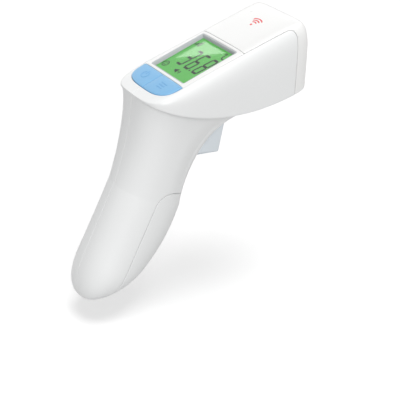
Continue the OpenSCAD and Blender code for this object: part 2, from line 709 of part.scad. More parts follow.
// a round bar of radius r along a route of points, with "sides" sides
module sweep(route, r, sides) {
    m = len(route) - 1;
    function unit(v) = v / norm(v);
    function heading(i) = unit(route[min(i + 1, m)] - route[max(i - 1, 0)]);
    up = [0.31, 0.95, 0.05];
    skin = [for (i = [0 : m]) let (h = heading(i), a = unit(cross(h, up)), b = cross(h, a))
        each [for (k = [0 : sides - 1]) route[i] + r * (cos(k * 360 / sides) * a + sin(k * 360 / sides) * b)]];
    polyhedron(points = skin, faces = concat(
        [for (i = [0 : m - 1], k = [0 : sides - 1])
            let (a = i * sides + k, b = i * sides + (k + 1) % sides)
            each [[a, b + sides, b], [a, a + sides, b + sides]]],
        [[for (k = [0 : sides - 1]) k], [for (k = [sides - 1 : -1 : 0]) m * sides + k]]));
}

left_shell();
right_shell();
nose_cover();
display_bezel();
window_surround();
display_window();
lcd_panel();
backlight();
mode_key();
memory_key();
key_domes();
main_board();
controller();
display_connectors();
buzzer();
board_screws();
trigger();
trigger_pin();
trigger_spring();
switch_board();
trigger_switch();
aperture_ring();
sensor_barrel();
sensor_can();
sensor_board();
sensor_ribbon();
battery_cover();
battery_tray();
battery_left();
battery_right();
contact_springs();
contact_plates();
battery_leads();
housing_screws();
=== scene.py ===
# %% [markdown]
# # A forehead thermometer
# The object is a small pistol of white moulded plastic: a wedge-shaped head with a green display and two
# blue keys, and a leaning handle with a trigger and a battery cover. Every outer piece is cut from one
# continuous skin, as the real tool is, so this lesson first makes the skin and then cuts the pieces from it.
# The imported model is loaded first. It holds every part at its true size and place, and moves.

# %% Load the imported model
import json
import math

import bpy
import numpy as np
from mathutils import Matrix, Vector


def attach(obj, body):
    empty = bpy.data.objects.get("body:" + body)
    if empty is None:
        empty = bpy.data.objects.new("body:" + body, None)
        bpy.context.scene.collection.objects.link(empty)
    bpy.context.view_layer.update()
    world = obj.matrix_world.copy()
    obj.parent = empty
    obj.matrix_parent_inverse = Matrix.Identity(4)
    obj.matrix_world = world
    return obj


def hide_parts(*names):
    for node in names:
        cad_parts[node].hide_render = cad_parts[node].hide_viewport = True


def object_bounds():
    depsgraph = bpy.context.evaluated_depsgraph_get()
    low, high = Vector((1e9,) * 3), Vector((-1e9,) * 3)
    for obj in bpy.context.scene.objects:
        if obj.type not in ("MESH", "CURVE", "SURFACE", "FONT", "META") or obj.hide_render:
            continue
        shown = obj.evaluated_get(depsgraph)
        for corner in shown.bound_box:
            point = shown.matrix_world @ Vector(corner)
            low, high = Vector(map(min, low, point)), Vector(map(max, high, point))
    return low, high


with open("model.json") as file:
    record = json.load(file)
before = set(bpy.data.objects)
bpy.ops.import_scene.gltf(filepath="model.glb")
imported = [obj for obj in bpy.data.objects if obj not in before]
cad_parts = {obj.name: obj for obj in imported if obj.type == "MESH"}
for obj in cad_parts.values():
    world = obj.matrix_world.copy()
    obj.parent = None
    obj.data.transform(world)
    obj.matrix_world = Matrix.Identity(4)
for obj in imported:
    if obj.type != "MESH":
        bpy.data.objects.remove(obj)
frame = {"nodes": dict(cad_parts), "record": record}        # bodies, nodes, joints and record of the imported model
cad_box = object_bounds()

# %% [markdown]
# ## The sizes
# The design is drawn in millimetres from the crease at the tail of the head: X runs forward along the
# sensor, Y to the left and Z up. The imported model's origin is the sensor opening, so one shift and one
# scale carry a drawn point to its place. The sizes are the design's own, so each piece fits its neighbours.

# %% Sizes of the design, in millimetres
nose_x, sensor_z = 94.0, 12.0
head_w, tail_l, tail_n, nose_l, nose_n = 24.4, 44.5, 3.9, 18.5, 8.0
top_rise, top_crown = 0.358, 0.0003
edge_low, edge_x, edge_sag = -13.45, 54.4, 0.0043
side_n, top_n, tail_round, top_pole = 7.1, 6.0, 0.4, 0.45
lean = math.radians(26.5)
grip_l, grip_w, grip_back, grip_front, cap_l = 113.2, 17.8, 11.5, 52.8, 24.0
grip_n, grip_taper, grip_mid, cap_n, cap_slant = 2.24, 13.7, 60.0, 2.5, -0.37
neck_s, neck_side, neck_fall, neck_nose, neck_wide, neck_tail = 48.0, 120.0, 1.33, 4.0, 4.3, 1.69
wall, seam, nose_cover_l = 2.0, 0.3, 9.5
key_x, key_l, key_n, key_proud = 6.0, 12.2, 3.3, 0.4
panel_w, panel_flare, panel_x = 18.7, 0.02, key_x + key_l + seam
window_x, window_l, window_w, window_depth, glass_t = 20.0, 32.0, 16.2, 2.6, 0.8
cover_s, cover_t, cover_corner = 41.0, 29.4, 9.0
trigger_w, slot_gap, trigger_slot = 11.6, 0.7, ((27.0, -43.6), (56.0, -10.4))
ring_r, aperture_r = 7.4, 5.2
nose_start, nose_span = 125.0, 55.0        # the angle at which the nose begins, and what is left of 180
nose_x0 = nose_x - nose_l
panel_end = window_x + window_l + 1.6
deck_x = 36.0
deck_tilt = math.atan(top_rise - 2 * top_crown * deck_x)
deck_z = top_rise * deck_x - top_crown * deck_x**2
MM = 0.001


def placed(points):
    """Drawn points, in millimetres from the tail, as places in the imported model, in metres."""
    return (np.asarray(points, float) - (nose_x, 0, sensor_z)) * MM


print("the head is", nose_x, "mm long and its deck slopes", round(math.degrees(deck_tilt), 1), "degrees")

# %% [markdown]
# ## The skin as a formula
# Round the head and the handle, an angle "th" runs from the tail (0) over the side (90) to the nose (180).
# Superellipses give the boxy shapes with soft corners that a moulder likes: raising cosines and sines to a
# power of 2/n makes a circle at n = 2 and comes close to a square at n = 8. A sculpted mesh could do it too,
# but a formula gives the same skin to every piece, at any fineness.

# %% Outlines of the head and the handle
def mix(a, b, f):
    return a + (b - a) * f


def power(base, exponent):
    return np.maximum(base, 0) ** exponent


def top_z(x):
    return top_rise * x - top_crown * x * x


def edge_z(x):
    return edge_low + edge_sag * (x - edge_x) ** 2


def nose_a(th):
    return np.radians(np.clip((180 - th) / nose_span * 90, 0, 90))


def plan(th):
    """X and half width of the edge under the head, seen from above."""
    a = np.radians(np.minimum(th, 90))
    tail = tail_l * (1 - power(np.cos(a), 2 / tail_n)), head_w * power(np.sin(a), 2 / tail_n)
    straight = mix(tail_l, nose_x0, (th - 90) / (nose_start - 90)), np.full_like(th, head_w)
    n = nose_a(th)
    nose = nose_x0 + nose_l * power(np.cos(n), 2 / nose_n), head_w * power(np.sin(n), 2 / nose_n)
    pick = [th <= 90, th < nose_start]
    return [np.select(pick, [tail[k], straight[k]], nose[k]) for k in (0, 1)]


def head_points(th, f):
    """Points of the head: f runs from the edge (0) to the middle line of the top (1)."""
    px, py = plan(th)
    r = power(np.cos(np.pi / 2 * f), 2 / side_n)
    front = th >= nose_start
    cy = np.where(front, power(np.sin(nose_a(th)), 2 / nose_n), 1)
    cx = np.where(front, power(np.cos(nose_a(th)), 2 / nose_n), 0)
    k = mix(top_pole, 1, r)
    gauge = (power(cy * r, nose_n) + power(cx * k, nose_n)) ** (1 / nose_n)
    h = power(1 - gauge**side_n, 1 / top_n)
    lean_in = tail_round * (1 - r) * np.where(th < 90, np.cos(np.radians(th)) ** 4, 0)
    x = np.where(front, mix(nose_x0, px, k), px + lean_in)
    return np.stack([x, py * r, mix(edge_z(x), top_z(x), h)], -1)


def grip_points(s, u, th):
    """Points of the handle, s down along it; u runs from 0 to 1 over its rounded end."""
    front = grip_front - grip_taper * ((s - grip_mid) / 45) ** 2 * np.where(s > grip_mid, 1, 0.6)
    middle, half = (front + grip_back) / 2, (front - grip_back) / 2
    r = power(1 - u**cap_n, 1 / cap_n)
    c = np.cos(np.radians(th))
    t = middle - half * np.sign(c) * np.abs(c) ** (2 / grip_n) * r
    d = s + u * (t - middle) * cap_slant
    y = grip_w * power(np.sin(np.radians(th)), 2 / grip_n) * r
    forward, up = t * math.cos(lean) - d * math.sin(lean), -t * math.sin(lean) - d * math.cos(lean)
    return np.stack([forward, y, up], -1)


def neck_points(th, g):
    """Points of the neck: g runs from the edge under the head (0) to the handle (1)."""
    px, py = plan(th)
    q = grip_points(np.full_like(th, neck_s), np.zeros_like(th), th)
    fall = 1 - np.cos(np.pi / 2 * g)
    n = np.minimum(1, th / neck_side)
    side = n * n * (3 - 2 * n)
    base = 1 - (1 - fall) ** neck_fall
    x = mix(px, q[..., 0], mix(fall**neck_tail, base ** (1 / neck_nose), side))
    low = edge_z(np.where(px > edge_x, np.maximum(x, edge_x), px))
    return np.stack([x, mix(py, q[..., 1], base ** (1 / neck_wide)), mix(low, q[..., 2], fall)], -1)


for th in (0.0, 90.0, 180.0):
    print("edge at", th, "degrees: X and half width", np.round(plan(np.array([th])), 1).T[0])

# %% [markdown]
# ## A grid of points on the skin
# A plain grid of angles would leave long quads at the flat faces and crowd the corners. So the columns are
# spread by the polar angle of each superellipse, and the rows by their length along the surface. The sharp
# crease between head and neck is a knife edge in the formula. A moulded edge has a radius, so a short
# Bezier arc replaces the last millimetre on each side of it.

# %% Columns and rows
def spread(count, n):
    """Angles in degrees whose points lie evenly round a quarter of a superellipse."""
    a = np.linspace(0, np.pi / 2, count)
    y = np.sin(a) / (np.sin(a) ** n + np.cos(a) ** n) ** (1 / n)
    return np.degrees(np.arcsin(np.clip(y ** (n / 2), 0, 1)))


def along(line, lengths):
    """Points of a polyline at the given lengths from its start."""
    step = np.linalg.norm(np.diff(line, axis=0), axis=1)
    total = np.concatenate([[0], np.cumsum(step)])
    return np.stack([np.interp(lengths, total, line[:, k]) for k in range(3)], -1), total[-1]


def column(th, neck_rows=60, head_rows=84, arc_rows=7, edge_radius=0.9):
    """One line of points from the handle's top over the rounded crease to the middle of the top."""
    fine = np.linspace(0, 1, 500)
    neck = neck_points(np.full(500, th), fine**2)
    h_side = np.degrees(np.arcsin(np.linspace(0, 0.93, 300) ** 3)) / 90
    r_top = np.linspace(power(np.cos(np.radians(h_side[-1] * 90)), 2 / side_n), 0, 300)
    h_top = np.degrees(np.arccos(r_top ** (side_n / 2))) / 90
    head_f = np.concatenate([h_side, h_top[1:]])
    head = head_points(np.full(head_f.size, th), head_f)
    neck_l, head_l = along(neck, [0])[1], along(head, [0])[1]
    cut = min(edge_radius, 0.4 * head_l)
    low = along(neck, np.linspace(neck_l, cut, neck_rows))[0]
    high = along(head, np.linspace(cut, head_l, head_rows))[0]
    f = np.linspace(0, 1, arc_rows + 2)[1:-1, None]
    arc = (1 - f) ** 2 * low[-1] + 2 * f * (1 - f) * head[0] + f**2 * high[0]
    return np.concatenate([low, arc, high])


nose_columns = 180 - spread(46, nose_n)[::-1] * nose_span / 90
columns = np.concatenate([spread(62, tail_n), np.linspace(90, nose_start, 34)[1:-1], nose_columns])
cap_u = power(np.sin(np.linspace(np.pi / 2, 0, 30)), 2 / cap_n)
cap_s = grip_l - cap_l
handle_s = np.concatenate([cap_s + cap_u * cap_l, np.linspace(cap_s, neck_s, 60)[1:-1]])
handle_u = np.concatenate([cap_u, np.zeros(58)])
half_grid = np.stack([
    np.concatenate([grip_points(handle_s, handle_u, np.full(handle_s.size, th)), column(th)])
    for th in columns
], 1)
print("half of the skin has", half_grid.shape[0], "rows and", half_grid.shape[1], "columns")

# %% [markdown]
# ## A skin that can be cut
# A boolean on a dense mesh is slow, and leaves knife edges. Here each piece has a "field" instead: a number
# at every point of the skin, which is the distance to the piece's outline and is positive inside it. The
# faces that the outline crosses are split where the number is zero, and what is below zero is dropped. The
# same split at a few more levels gives the loops that round the edge over.

# %% The skin and its knife
class Skin:
    """Points with their normals, and faces of any number of corners."""

    def __init__(self, points, normals, faces):
        self.points, self.normals, self.faces = points, normals, faces

    def distance(self, field, reach=0.02):
        """The field as a true distance along the surface, in millimetres."""
        value = field(self.points)
        slope = np.stack([
            (field(self.points + step) - field(self.points - step)) / (2 * reach) for step in np.eye(3) * reach
        ], -1)
        slope -= (slope * self.normals).sum(1)[:, None] * self.normals
        return value / np.maximum(np.linalg.norm(slope, axis=1), 0.35)

    def split(self, values, level):
        """Cuts the faces that cross a level of the values. Returns the new skin and its values."""
        values = np.where(np.abs(values - level) < 1e-4, level + 1e-4, values)
        above, value = (values > level).tolist(), values.tolist()
        made, pairs, faces = {}, [], []
        for face in self.faces:
            flags = [above[i] for i in face]
            if all(flags) or not any(flags):
                faces.append(face)
                continue
            halves = ([], [])
            for i, a in enumerate(face):
                b = face[(i + 1) % len(face)]
                halves[above[a]].append(a)
                if above[a] != above[b]:
                    key = (min(a, b), max(a, b))
                    if key not in made:
                        made[key] = len(value) + len(pairs)
                        pairs.append(key)
                    halves[0].append(made[key])
                    halves[1].append(made[key])
            faces += [tuple(h) for h in halves if len(h) > 2]
        if not pairs:
            return Skin(self.points, self.normals, faces), values
        a, b = np.array(pairs).T
        f = ((level - values[a]) / (values[b] - values[a]))[:, None]
        normals = mix(self.normals[a], self.normals[b], f)
        normals /= np.linalg.norm(normals, axis=1)[:, None]
        points = np.concatenate([self.points, mix(self.points[a], self.points[b], f)])
        return (Skin(points, np.concatenate([self.normals, normals]), faces),
                np.concatenate([values, np.full(len(pairs), level)]))

    def keep(self, values, level):
        """Only the faces whose middle is above the level."""
        faces = [face for face in self.faces if sum(values[list(face)]) / len(face) > level]
        used = np.unique(np.concatenate([np.array(face) for face in faces]))
        index = np.full(len(self.points), -1)
        index[used] = np.arange(used.size)
        place = index.tolist()
        return Skin(self.points[used], self.normals[used], [tuple(place[i] for i in face) for face in faces])


def welded(points, faces, reach=1e-3):
    """The same faces with points that lie together made one, and faces that collapse dropped."""
    key = np.round(points / reach).astype(np.int64)
    unique, first, index = np.unique(key, axis=0, return_index=True, return_inverse=True)
    index = index.reshape(-1)
    kept = []
    for face in faces:
        ring = [index[i] for i in face]
        ring = [v for i, v in enumerate(ring) if v != ring[i - 1]]
        if len(set(ring)) > 2:
            kept.append(tuple(int(v) for v in ring))
    return points[first], kept


def face_normals(points, faces):
    """A normal at each point, the average of the faces round it."""
    total = np.zeros_like(points)
    for face in faces:
        a, b, c = points[face[0]], points[face[1]], points[face[2]]
        n = np.cross(b - a, c - a) if len(face) == 3 else np.cross(c - a, points[face[3]] - b)
        for i in face:
            total[i] += n
    return total / np.maximum(np.linalg.norm(total, axis=1), 1e-12)[:, None]


def whole_skin():
    rows, count = half_grid.shape[:2]
    left = half_grid.reshape(-1, 3)
    points = np.concatenate([left, left * (1, -1, 1)])
    faces = []
    for j in range(rows - 1):
        for i in range(count - 1):
            a = j * count + i
            ring = (a, a + count, a + count + 1, a + 1)
            faces += [ring, tuple(v + len(left) for v in ring[::-1])]
    points, faces = welded(points, faces)
    points[:, 0] += 0.24 * np.clip((-26 - points[:, 0]) / 10, 0, None) ** 2      # both ends stay within the
    points[:, 2] -= 0.075 * np.clip((points[:, 2] - 25.8) / 3, 0, None) ** 2     # design's own box
    return Skin(points, face_normals(points, faces), faces)


skin = whole_skin()
print("the whole skin has", len(skin.points), "points")

# %% [markdown]
# ## Fields: where each piece ends
# The fields are written the way a draughtsman would give the parting lines: half widths, distances along the
# deck, distances in the handle. "corner" joins two straight lines with a round corner. It is positive where
# both distances are positive, which is how one outline serves the piece inside it and the one outside.

# %% Distances that the outlines share
FAR = 50.0


def corner(a, b, radius):
    """Inside of two crossing lines: the smaller distance, with the corner between them rounded."""
    return radius - np.hypot(np.maximum(radius - a, 0), np.maximum(radius - b, 0))


def deck(p):
    """Distance along the deck, across it and above it."""
    x, z = p[:, 0] - deck_x, p[:, 2] - deck_z
    return (x * math.cos(deck_tilt) + z * math.sin(deck_tilt), p[:, 1],
            z * math.cos(deck_tilt) - x * math.sin(deck_tilt))


def deck_u(x):
    return (x - deck_x) / math.cos(deck_tilt)


def panel_side(p):
    """Distance outwards from the side line of the top panel; only the top of the head is near it."""
    u, v, w = deck(p)
    x = deck_x + u * math.cos(deck_tilt)
    return np.where(w > -6, np.abs(v) - panel_w - panel_flare * (x - panel_x), FAR)


def key_gauge(p, grow):
    """Less than nothing outside the outline of both keys, which is square ahead and round behind."""
    u, v, w = deck(p)
    u1 = deck_u(key_x + key_l) + grow
    length = u1 - deck_u(key_x) + grow
    across = np.abs(v) / (panel_w - 0.3 + grow)
    back = np.maximum(u1 - u, 0) / length
    inside = 1 - (across**key_n + back**key_n) ** (1 / key_n)
    return np.where(w > -6, inside * length, -FAR)


def window_side(p):
    """Distance outwards from the window."""
    u, v, w = deck(p)
    half = window_l / 2 / math.cos(deck_tilt)
    a = half - np.abs(u - deck_u(window_x + window_l / 2))
    return -corner(a, window_w - np.abs(v), 0.7)


def cover_inside(p, gap):
    """Distance inwards from the outline of the battery cover."""
    s = -p[:, 0] * math.sin(lean) - p[:, 2] * math.cos(lean)
    t = p[:, 0] * math.cos(lean) - p[:, 2] * math.sin(lean)
    return corner(s - cover_s - gap, t - cover_t - gap, cover_corner)


def slot_outside(p):
    """Distance outwards from the trigger's slot."""
    (x0, z0), (x1, z1) = trigger_slot
    x, y, z = p.T
    return np.max([np.abs(y) - trigger_w / 2 - slot_gap, x0 - x, x - x1, z0 - z, z - z1], axis=0)


def nose_corner(p):
    """Inside of the shells' front upper corner, whose rounding is 4.5 mm."""
    band = nose_x - nose_cover_l - p[:, 0]
    return corner(np.maximum(panel_side(p), panel_x - seam - p[:, 0]), band, 4.5)


key_middle = key_x + key_l / 2
key_reach = key_gauge(np.array([[key_middle, 0, top_z(key_middle)]]), 0)[0]
print("at the middle, the key outline is", round(float(key_reach), 1), "mm away")

# %% [markdown]
# ## From a cut skin to a moulding
# A moulded cover has a wall and a small radius on every edge, which is what catches the light along a seam.
# So the cut skin is split again just inside its outline, the loops there sink on a quarter circle, a copy
# of the skin goes in by the thickness of the wall, and a rim joins the two. The result is a closed body. A
# Solidify and a Bevel modifier could do this too, but they tear where outlines cross a tight curve.

# %% The moulding maker
def mesh_piece(name, points, faces, sharp=38):
    """A mesh object from drawn points; edges over "sharp" degrees stay crisp."""
    mesh = bpy.data.meshes.new(name)
    mesh.from_pydata([tuple(p) for p in placed(points)], [], faces)
    mesh.validate()
    mesh.shade_smooth()
    mesh.set_sharp_from_angle(angle=math.radians(sharp))
    piece = bpy.data.objects.new(name, mesh)
    bpy.context.scene.collection.objects.link(piece)
    return piece


def cut_skin(fields):
    """The part of the skin that is inside every field, with its distance to the nearest outline."""
    part = skin
    for field in fields:
        values = part.distance(field)
        part, values = part.split(values, 0)
        part = part.keep(values, 0)
    inside = np.min([part.distance(field) for field in fields], axis=0)
    return part, np.maximum(inside, 0)


def moulding_mesh(fields, thickness=1.6, roll=0.22, lift=None):
    """Points and faces of a closed moulding with rolled edges."""
    part, inside = cut_skin(fields)
    for level in (0.12, 0.4, 1.0):
        part, inside = part.split(inside, roll * level)
    raised = lift(inside) if lift else 0 * inside
    sink = roll - np.sqrt(np.maximum(roll**2 - (roll - np.minimum(inside, roll)) ** 2, 0))
    outer = part.points + part.normals * (raised - sink)[:, None]
    inner = part.points - part.normals * thickness
    count = len(outer)
    edges = {(a, b) for face in part.faces for a, b in zip(face, face[1:] + face[:1])}
    rim = [(b, a, a + count, b + count) for a, b in edges if (b, a) not in edges]
    faces = part.faces + [tuple(i + count for i in face[::-1]) for face in part.faces] + sorted(rim)
    return np.concatenate([outer, inner]), faces


def moulding(name, body, nodes, slot, fields, **shape):
    piece = mesh_piece(name, *moulding_mesh(fields, **shape))
    print(name, "has", len(piece.data.polygons), "faces")
    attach(piece, body)
    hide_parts(*nodes)
    return piece


# %% [markdown]
# ## The two halves of the housing
# The real housing is two shells that meet on the middle line. Both stop at the top panel, at the keys, at
# the nose cover, at the battery cover and at the trigger's slot. Only the left one has screw holes.

# %% The shells
parting = 0.06
screws = [(nose_x - 16, -3.0, 10.0), (16.0, -12.0, 8.0)]
grip_screws = [(74.0, 18.6, 5.0), (96.0, 18.6, 4.0)]
screw_well_r = 2.6
for s, t, seat in grip_screws:
    x, z = t * math.cos(lean) - s * math.sin(lean), -t * math.sin(lean) - s * math.cos(lean)
    screws.append((x, z, seat))


def screw_side(place):
    """Distance outwards from one screw hole, on the left side."""
    def outwards(p):
        return np.where(p[:, 1] > 0, np.hypot(p[:, 0] - place[0], p[:, 2] - place[1]) - screw_well_r, FAR)
    return outwards


def shell_fields(side):
    fields = [
        lambda p: side * p[:, 1] - parting,
        nose_corner,
        lambda p: -key_gauge(p, seam),
        lambda p: -cover_inside(p, 0),
        slot_outside,
    ]
    return fields + [screw_side(s) for s in screws] * (side > 0)


left_shell = moulding("left_shell_skin", "housing", ["left_shell"], "housing", shell_fields(1))
right_shell = moulding("right_shell_skin", "housing", ["right_shell"], "housing", shell_fields(-1))

# %% [markdown]
# ## The panels on the head
# The nose cover is a cap over the nose with a tongue that runs back to the display, so its outline is the
# shells' corner seen from the other side. The display bezel is a flat frame round the window.

# %% Nose cover and display bezel
def tongue_or_cap(p):
    """Inside of the nose cover: past the shells' corner by a seam, and ahead of the bezel."""
    return np.minimum(-nose_corner(p) - seam, deck(p)[0] - deck_u(panel_end + seam))


def sensor_hole(p):
    return np.where(p[:, 0] > nose_x - 8, np.hypot(p[:, 1], p[:, 2] - sensor_z) - ring_r, FAR)


nose_cover = moulding("nose_cover_skin", "housing", ["nose_cover"], "bezel", [tongue_or_cap, sensor_hole])
display_bezel = moulding("display_bezel_skin", "housing", ["display_bezel"], "bezel", [
    lambda p: -panel_side(p) - seam / 2,
    lambda p: deck(p)[0] - deck_u(panel_x),
    lambda p: deck_u(panel_end) - deck(p)[0],
    window_side,
])

# %% [markdown]
# ## The keys
# The two keys fill one outline, square against the display and round behind, with a slit between them. They
# stand a little above the deck, and their tops swell towards the middle, so that a thumb finds them.

# %% Key caps
def crowned(inside):
    """Height of a key cap above the deck, by the distance from its edge."""
    f = np.clip(inside / 3.5, 0, 1)
    return key_proud * (0.45 + 0.55 * (1 - (1 - f) ** 2))


def key_fields(side):
    return [
        lambda p: key_gauge(p, 0),
        lambda p: deck_u(key_x + key_l) - deck(p)[0],
        lambda p: side * p[:, 1] - seam / 2,
    ]


mode_key = moulding("mode_key_cap", "mode_key", ["mode_key"], "key", key_fields(1), lift=crowned, roll=0.35)
memory_key = moulding("memory_key_cap", "memory_key", ["memory_key"], "key", key_fields(-1),
                      lift=crowned, roll=0.35)

# %% [markdown]
# ## The battery cover
# The cover is the front of the lower handle. Its seam runs down the side of the handle, and turns forward
# below the trigger in a wide round corner.

# %% Cover
battery_cover = moulding("battery_cover_skin", "battery_cover", ["battery_cover"], "housing",
                         [lambda p: cover_inside(p, seam)])

# %% [markdown]
# ## Shader maths in plain Python
# A finish is a graph of nodes, and a long graph is hard to read. One small class wraps a socket, so that
# speckle * 0.1 + 0.4 adds its own Math nodes. Every other node comes from one method, "node".

# %% Wire and Finish
def light(red, green, blue):
    """A screen colour, 0 to 255, as the linear colour that shaders use."""
    linear = [((c / 255 + 0.055) / 1.055) ** 2.4 if c > 10 else c / 255 / 12.92 for c in (red, green, blue)]
    return (*linear, 1.0)


class Wire:
    """A number that comes out of a node and can be used in sums."""

    def __init__(self, finish, socket):
        self.finish, self.socket = finish, socket

    def maths(self, operation, first, second):
        made = self.finish.node("ShaderNodeMath", {"operation": operation}, {0: first, 1: second})
        return Wire(self.finish, made.outputs[0])

    def __add__(self, other):
        return self.maths("ADD", self, other)

    def __radd__(self, other):
        return self.maths("ADD", other, self)

    def __mul__(self, other):
        return self.maths("MULTIPLY", self, other)

    def __rmul__(self, other):
        return self.maths("MULTIPLY", other, self)

    def above(self, edge):
        return self.maths("GREATER_THAN", self, edge)


class Finish:
    """A material and the nodes that make it."""

    def __init__(self, name, **fixed):
        self.material = bpy.data.materials.new(name)
        self.material.use_nodes = True
        self.tree = self.material.node_tree
        self.shader = self.tree.nodes["Principled BSDF"]
        for socket, value in fixed.items():
            self.shader.inputs[socket.replace("_", " ")].default_value = value
        self.place = self.node("ShaderNodeTexCoord").outputs["Object"]

    def node(self, kind, settings=None, inputs=None):
        """A node of a type, its settings first, and then the values or links of its sockets."""
        made = self.tree.nodes.new(kind)
        for key, value in (settings or {}).items():
            setattr(made, key, value)
        for key, value in (inputs or {}).items():
            socket = value.socket if isinstance(value, Wire) else value
            if isinstance(socket, bpy.types.NodeSocket):
                self.tree.links.new(socket, made.inputs[key])
            else:
                made.inputs[key].default_value = socket
        return made

    def noise(self, scale, detail=2.0, stretch=(1, 1, 1)):
        """Noise from 0 to 1, its scale in repeats per metre."""
        place = self.place
        if stretch != (1, 1, 1):
            place = self.node("ShaderNodeMapping", None, {"Vector": place, "Scale": stretch}).outputs[0]
        made = self.node("ShaderNodeTexNoise", None, {"Vector": place, "Scale": scale, "Detail": detail})
        return Wire(self, made.outputs[0])

    def colours(self, factor, first, second):
        """A colour that goes from the first to the second as the factor goes from 0 to 1."""
        made = self.node("ShaderNodeMix", {"data_type": "RGBA"}, {0: factor, 6: first, 7: second})
        return made.outputs[2]

    def drives(self, socket, value):
        value = value.socket if isinstance(value, Wire) else value
        self.tree.links.new(value, self.shader.inputs[socket])

    def bumps(self, height, depth):
        """Relief of the given depth in metres."""
        made = self.node("ShaderNodeBump", None, {"Height": height, "Distance": depth, "Strength": 1.0})
        self.drives("Normal", made.outputs[0])


print("white of 247 on a screen is", round(light(247, 247, 247)[0], 3), "in light")

# %% [markdown]
# ## Moulded plastic
# Moulded ABS isn't flat: the tool's spark-eroded surface leaves a fine grain that breaks up reflections, the
# pigment clouds a little, and handling polishes it unevenly. All three are noise at different scales: about
# a third of a millimetre for the grain, and centimetres for the rest.

# %% Plastics
def plastic(name, colour, rough, grain=0.000006, cloud=0.03, **fixed):
    """Moulded plastic: a clouded colour, an uneven polish and a fine grain."""
    finish = Finish(name, **fixed)
    clouds = finish.noise(38, 3)
    darker = tuple(c * (1 - cloud) for c in colour[:3]) + (1.0,)
    finish.drives("Base Color", finish.colours(clouds, darker, colour))
    finish.drives("Roughness", finish.noise(55, 4) * 0.14 + (rough - 0.07))
    finish.bumps(finish.noise(2600, 2) + finish.noise(700, 2) * 0.5, grain)
    return finish.material


shell_white = plastic("shell_white", light(235, 236, 236), 0.36, IOR=1.5)
panel_white = plastic("panel_white", light(238, 238, 237), 0.3, grain=0.000003, IOR=1.5)
key_blue = plastic("key_blue", light(128, 184, 226), 0.42, cloud=0.05)
icon_blue = plastic("icon_blue", light(112, 172, 220), 0.45)
trigger_grey = plastic("trigger_grey", light(224, 231, 236), 0.38, IOR=1.5)
surround_grey = plastic("surround_grey", light(186, 190, 192), 0.45, grain=0.000004)
soft_black = plastic("soft_black", light(28, 29, 31), 0.5)
tray_grey = plastic("tray_grey", light(150, 152, 155), 0.5)
badge_red = plastic("badge_red", light(224, 40, 48), 0.35, grain=0.000001)
lead_red = plastic("lead_red", light(190, 40, 35), 0.4)
milk_white = plastic("milk_white", light(232, 238, 230), 0.5)
for piece in (left_shell, right_shell, battery_cover):
    piece.data.materials.append(shell_white)
for piece in (nose_cover, display_bezel):
    piece.data.materials.append(panel_white)
for piece in (mode_key, memory_key):
    piece.data.materials.append(key_blue)
print("moulded plastics made")

# %% [markdown]
# ## Metal, boards and cells
# The inner pieces show when the battery cover slides down or the trigger's slot is looked into. Turned metal
# has fine lines round it, solder mask has copper tracks under it, and a cell wears a printed sleeve.

# %% Metals
def metal(name, colour, rough, lines=(1, 1, 1)):
    finish = Finish(name, Metallic=1.0)
    grain = finish.noise(900, 3, lines)
    finish.drives("Base Color", finish.colours(grain, tuple(c * 0.86 for c in colour[:3]) + (1.0,), colour))
    finish.drives("Roughness", grain * 0.2 + (rough - 0.1))
    finish.bumps(grain, 0.000004)
    return finish.material


steel = metal("bright_steel", light(205, 206, 208), 0.3)
gilt = metal("gilt_barrel", light(222, 190, 120), 0.22, lines=(9, 1, 1))
tin = metal("tinned_can", light(214, 212, 204), 0.2)

# %% Solder mask, ribbon and glass
def board_mask():
    """Green lacquer over copper tracks, which a stepped noise lays out."""
    finish = Finish("solder_mask")
    tracks = finish.noise(420, 0, (1, 3, 1)).above(0.52)
    finish.drives("Base Color", finish.colours(tracks, light(18, 92, 44), light(38, 128, 62)))
    finish.drives("Roughness", finish.noise(300) * 0.1 + 0.28)
    finish.bumps(tracks, 0.00003)
    return finish.material


def ribbon_film():
    finish = Finish("ribbon_film")
    stripe = Wire(finish, finish.node("ShaderNodeTexWave", {"bands_direction": "Y"},
                                      {"Vector": finish.place, "Scale": 400.0}).outputs[1])
    finish.drives("Base Color", finish.colours(stripe, light(176, 96, 30), light(226, 150, 70)))
    finish.drives("Roughness", stripe * 0.1 + 0.3)
    return finish.material


def window_glass():
    """Clear acrylic, polished a little unevenly."""
    finish = Finish("window_glass", Transmission_Weight=1.0, IOR=1.47, Base_Color=(0.97, 1.0, 0.98, 1.0))
    finish.drives("Roughness", finish.noise(90) * 0.02 + 0.01)
    return finish.material


def cell_sleeve():
    """A printed sleeve: copper colour towards one end, black over the rest."""
    finish = Finish("cell_sleeve")
    split = finish.node("ShaderNodeSeparateXYZ", None, {0: finish.place})
    down = Wire(finish, split.outputs[2]) * math.cos(lean) + Wire(finish, split.outputs[0]) * math.sin(lean)
    band_edge = -0.089                              # where the sleeve turns black
    copper = down.above(band_edge)
    finish.drives("Base Color", finish.colours(copper, light(34, 34, 38), light(196, 120, 60)))
    finish.drives("Metallic", copper * 0.6)
    finish.drives("Roughness", finish.noise(200) * 0.12 + 0.26)
    return finish.material


mask, film, clear, sleeve = board_mask(), ribbon_film(), window_glass(), cell_sleeve()
print("metals, boards and glass made")
